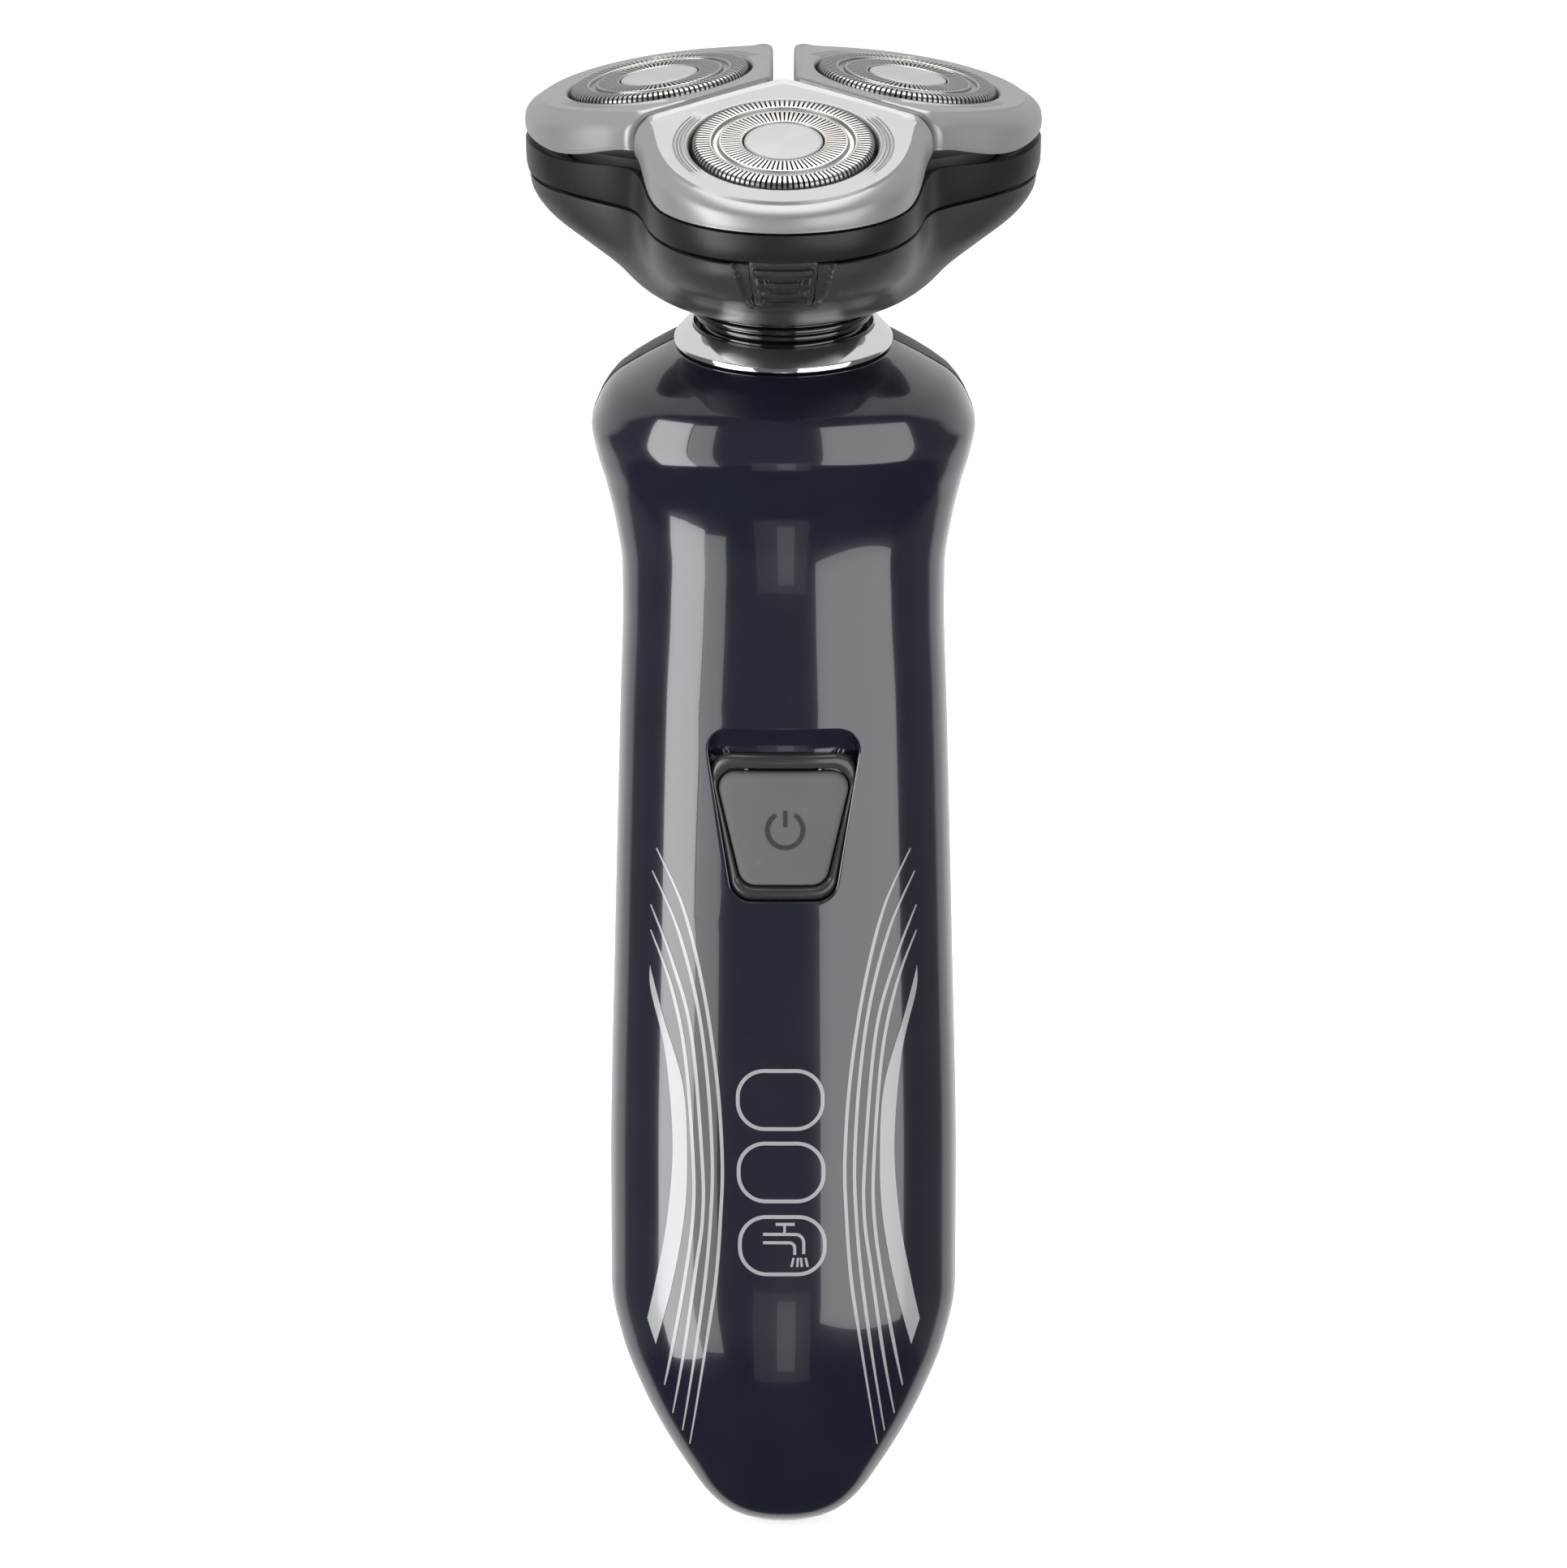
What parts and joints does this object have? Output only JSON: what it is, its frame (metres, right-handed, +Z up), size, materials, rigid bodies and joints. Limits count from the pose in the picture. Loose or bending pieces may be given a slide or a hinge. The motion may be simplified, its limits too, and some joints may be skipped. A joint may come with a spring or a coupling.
{
  "type": "rotary electric shaver",
  "caption": "Slim hand-held rotary shaver with a flip-open trefoil head of tilting petals, floating slotted caps, a ringed tilting neck and a rounded grip.",
  "frame": {"origin": "centre of the small flat face at the foot of the grip", "axes": "+Z up along the grip towards the head, -Y out of the front with the button, X across, mirror plane X = 0"},
  "size_m": [0.06, 0.0597, 0.1741],
  "materials": {
    "navy_gloss": "deep navy lacquer, high gloss",
    "black_satin": "satin moulded",
    "black_gloss": "high gloss",
    "black_rubber": "fine ribbed rubber",
    "charcoal": "satin moulded",
    "silver_satin": "satin silver lacquer",
    "grey_soft": "soft-touch",
    "chrome": "polished",
    "steel": "fine turned",
    "white_satin": "satin",
    "white_plastic": "natural moulded",
    "cell_wrap": "shrink wrap",
    "board_green": "solder mask",
    "clear_guide": "frosted clear",
    "brass": "plated"
  },
  "bodies": {
    "grip": {"front_cover": "navy_gloss", "rear_housing": "black_satin", "rear_grip": "black_rubber", "button_bezel": "charcoal", "circuit_board": "board_green", "power_switch": "black_satin", "battery_cell": "cell_wrap", "chassis_frame": "black_satin", "chassis_screw_1": "steel", "chassis_screw_2": "steel", "chassis_screw_3": "steel", "chassis_screw_4": "steel", "light_guide": "clear_guide", "charging_inlet": "black_satin", "inlet_pin_1": "brass", "inlet_pin_2": "brass", "drive_motor": "steel", "neck_collar": "chrome", "collar_seal": "black_rubber", "neck_tube": "black_satin", "neck_pin_1": "steel", "neck_pin_2": "steel"},
    "power_button": {"power_button": "grey_soft"},
    "motor_coupling": {"motor_coupling": "white_plastic"},
    "neck_ring_1": {"neck_ring_1": "black_gloss"},
    "neck_ring_2": {"neck_ring_2": "black_gloss"},
    "neck_ring_3": {"neck_ring_3": "black_gloss"},
    "neck_ring_4": {"neck_ring_4": "black_gloss"},
    "head": {"head_base": "charcoal", "gear_cover": "black_satin", "hinge_pin": "steel"},
    "release_button": {"release_button": "black_satin"},
    "centre_gear": {"centre_gear": "white_plastic"},
    "drive_gear_1": {"drive_gear_1": "white_plastic", "spindle_spring_1": "steel"},
    "drive_spindle_1": {"drive_spindle_1": "steel"},
    "drive_gear_2": {"drive_gear_2": "white_plastic", "spindle_spring_2": "steel"},
    "drive_spindle_2": {"drive_spindle_2": "steel"},
    "drive_gear_3": {"drive_gear_3": "white_plastic", "spindle_spring_3": "steel"},
    "drive_spindle_3": {"drive_spindle_3": "steel"},
    "shaving_unit": {"head_rim": "black_satin"},
    "petal_1": {"petal_1": "silver_satin"},
    "cap_1": {"foil_cap_1": "steel", "cap_disc_1": "white_satin", "cutter_retainer_1": "white_plastic"},
    "inner_cutter_1": {"inner_cutter_1": "steel"},
    "petal_2": {"petal_2": "silver_satin"},
    "cap_2": {"foil_cap_2": "steel", "cap_disc_2": "white_satin", "cutter_retainer_2": "white_plastic"},
    "inner_cutter_2": {"inner_cutter_2": "steel"},
    "petal_3": {"petal_3": "silver_satin"},
    "cap_3": {"foil_cap_3": "steel", "cap_disc_3": "white_satin", "cutter_retainer_3": "white_plastic"},
    "inner_cutter_3": {"inner_cutter_3": "steel"}
  },
  "joints": [
    {"name": "power_press", "type": "slide", "parent": "grip", "child": "power_button", "axis": [0, 1, 0], "range_m": [0, 0.0005], "stiffness_N_per_m": 900, "springref_m": -0.0004},
    {"name": "release_press", "type": "slide", "parent": "head", "child": "release_button", "axis": [0, 0.9732, 0.23], "range_m": [0, 0.0008], "stiffness_N_per_m": 600, "springref_m": -0.0004},
    {"name": "neck_tilt", "type": "hinge", "parent": "grip", "child": "head", "pos_m": [0, -0.00529, 0.1446], "axis": [1, 0, 0], "range_deg": [-4, 4], "stiffness_Nm_per_rad": 0.6},
    {"name": "neck_ring_1_tilt", "type": "hinge", "parent": "grip", "child": "neck_ring_1", "pos_m": [0, -0.00529, 0.1446], "axis": [1, 0, 0], "range_deg": [-0.8, 0.8]},
    {"name": "neck_ring_2_tilt", "type": "hinge", "parent": "grip", "child": "neck_ring_2", "pos_m": [0, -0.00529, 0.1446], "axis": [1, 0, 0], "range_deg": [-1.6, 1.6]},
    {"name": "neck_ring_3_tilt", "type": "hinge", "parent": "grip", "child": "neck_ring_3", "pos_m": [0, -0.00529, 0.1446], "axis": [1, 0, 0], "range_deg": [-2.4, 2.4]},
    {"name": "neck_ring_4_tilt", "type": "hinge", "parent": "grip", "child": "neck_ring_4", "pos_m": [0, -0.00529, 0.1446], "axis": [1, 0, 0], "range_deg": [-3.2, 3.2]},
    {"name": "head_open", "type": "hinge", "parent": "head", "child": "shaving_unit", "pos_m": [0, 0.01517, 0.16413], "axis": [-1, 0, 0], "range_deg": [0, 100]},
    {"name": "centre_gear_spin", "type": "hinge", "parent": "head", "child": "centre_gear", "pos_m": [0, -0.00434, 0.14061], "axis": [0, -0.23, 0.9732], "continuous": true},
    {"name": "motor_spin", "type": "hinge", "parent": "grip", "child": "motor_coupling", "pos_m": [0, -0.00434, 0.14061], "axis": [0, -0.23, 0.9732], "continuous": true},
    {"name": "drive_gear_1_spin", "type": "hinge", "parent": "head", "child": "drive_gear_1", "pos_m": [0, -0.01943, 0.13705], "axis": [0, -0.23, 0.9732], "continuous": true},
    {"name": "drive_gear_2_spin", "type": "hinge", "parent": "head", "child": "drive_gear_2", "pos_m": [0.01342, 0.0032, 0.1424], "axis": [0, -0.23, 0.9732], "continuous": true},
    {"name": "drive_gear_3_spin", "type": "hinge", "parent": "head", "child": "drive_gear_3", "pos_m": [-0.01342, 0.0032, 0.1424], "axis": [0, -0.23, 0.9732], "continuous": true},
    {"name": "petal_1_tilt", "type": "hinge", "parent": "shaving_unit", "child": "petal_1", "pos_m": [0, -0.02398, 0.15758], "axis": [1, 0, 0], "range_deg": [-2.5, 0], "stiffness_Nm_per_rad": 0.25, "springref_deg": 1.15},
    {"name": "petal_2_tilt", "type": "hinge", "parent": "shaving_unit", "child": "petal_2", "pos_m": [0.01317, -0.00178, 0.16283], "axis": [-0.5, 0.8428, 0.1992], "range_deg": [-2.5, 0], "stiffness_Nm_per_rad": 0.25, "springref_deg": 1.15},
    {"name": "petal_3_tilt", "type": "hinge", "parent": "shaving_unit", "child": "petal_3", "pos_m": [-0.01317, -0.00178, 0.16283], "axis": [-0.5, -0.8428, -0.1992], "range_deg": [-2.5, 0], "stiffness_Nm_per_rad": 0.25, "springref_deg": 1.15},
    {"name": "cap_1_float", "type": "slide", "parent": "petal_1", "child": "cap_1", "axis": [0, 0.3955, -0.9184], "range_m": [0, 0.0008], "stiffness_N_per_m": 500, "springref_m": -0.0006},
    {"name": "inner_cutter_1_spin", "type": "hinge", "parent": "cap_1", "child": "inner_cutter_1", "pos_m": [0, -0.02738, 0.16548], "axis": [0, -0.3955, 0.9184], "continuous": true},
    {"name": "cap_2_float", "type": "slide", "parent": "petal_2", "child": "cap_2", "axis": [-0.1504, 0.1421, -0.9784], "range_m": [0, 0.0008], "stiffness_N_per_m": 500, "springref_m": -0.0006},
    {"name": "inner_cutter_2_spin", "type": "hinge", "parent": "cap_2", "child": "inner_cutter_2", "pos_m": [0.01446, -0.003, 0.17124], "axis": [0.1504, -0.1421, 0.9784], "continuous": true},
    {"name": "cap_3_float", "type": "slide", "parent": "petal_3", "child": "cap_3", "axis": [0.1504, 0.1421, -0.9784], "range_m": [0, 0.0008], "stiffness_N_per_m": 500, "springref_m": -0.0006},
    {"name": "inner_cutter_3_spin", "type": "hinge", "parent": "cap_3", "child": "inner_cutter_3", "pos_m": [-0.01446, -0.003, 0.17124], "axis": [-0.1504, -0.1421, 0.9784], "continuous": true},
    {"name": "spindle_1_slide", "type": "slide", "parent": "drive_gear_1", "child": "drive_spindle_1", "axis": [0, 0.23, -0.9732], "range_m": [0, 0.0008], "deforming": ["spindle_spring_1"]},
    {"name": "spindle_2_slide", "type": "slide", "parent": "drive_gear_2", "child": "drive_spindle_2", "axis": [0, 0.23, -0.9732], "range_m": [0, 0.0008], "deforming": ["spindle_spring_2"]},
    {"name": "spindle_3_slide", "type": "slide", "parent": "drive_gear_3", "child": "drive_spindle_3", "axis": [0, 0.23, -0.9732], "range_m": [0, 0.0008], "deforming": ["spindle_spring_3"]}
  ],
  "couplings": [
    {"joint": "neck_ring_1_tilt", "follows": "neck_tilt", "ratio": 0.2},
    {"joint": "neck_ring_2_tilt", "follows": "neck_tilt", "ratio": 0.4},
    {"joint": "neck_ring_3_tilt", "follows": "neck_tilt", "ratio": 0.6},
    {"joint": "neck_ring_4_tilt", "follows": "neck_tilt", "ratio": 0.8},
    {"joint": "motor_spin", "follows": "centre_gear_spin", "ratio": 1},
    {"joint": "drive_gear_1_spin", "follows": "centre_gear_spin", "ratio": -0.75},
    {"joint": "drive_gear_2_spin", "follows": "centre_gear_spin", "ratio": -0.75},
    {"joint": "drive_gear_3_spin", "follows": "centre_gear_spin", "ratio": -0.75},
    {"joint": "inner_cutter_1_spin", "follows": "centre_gear_spin", "ratio": -0.75},
    {"joint": "inner_cutter_2_spin", "follows": "centre_gear_spin", "ratio": -0.75},
    {"joint": "inner_cutter_3_spin", "follows": "centre_gear_spin", "ratio": -0.75},
    {"joint": "spindle_1_slide", "follows": "cap_1_float", "ratio": 1},
    {"joint": "spindle_2_slide", "follows": "cap_2_float", "ratio": 1},
    {"joint": "spindle_3_slide", "follows": "cap_3_float", "ratio": 1}
  ]
}
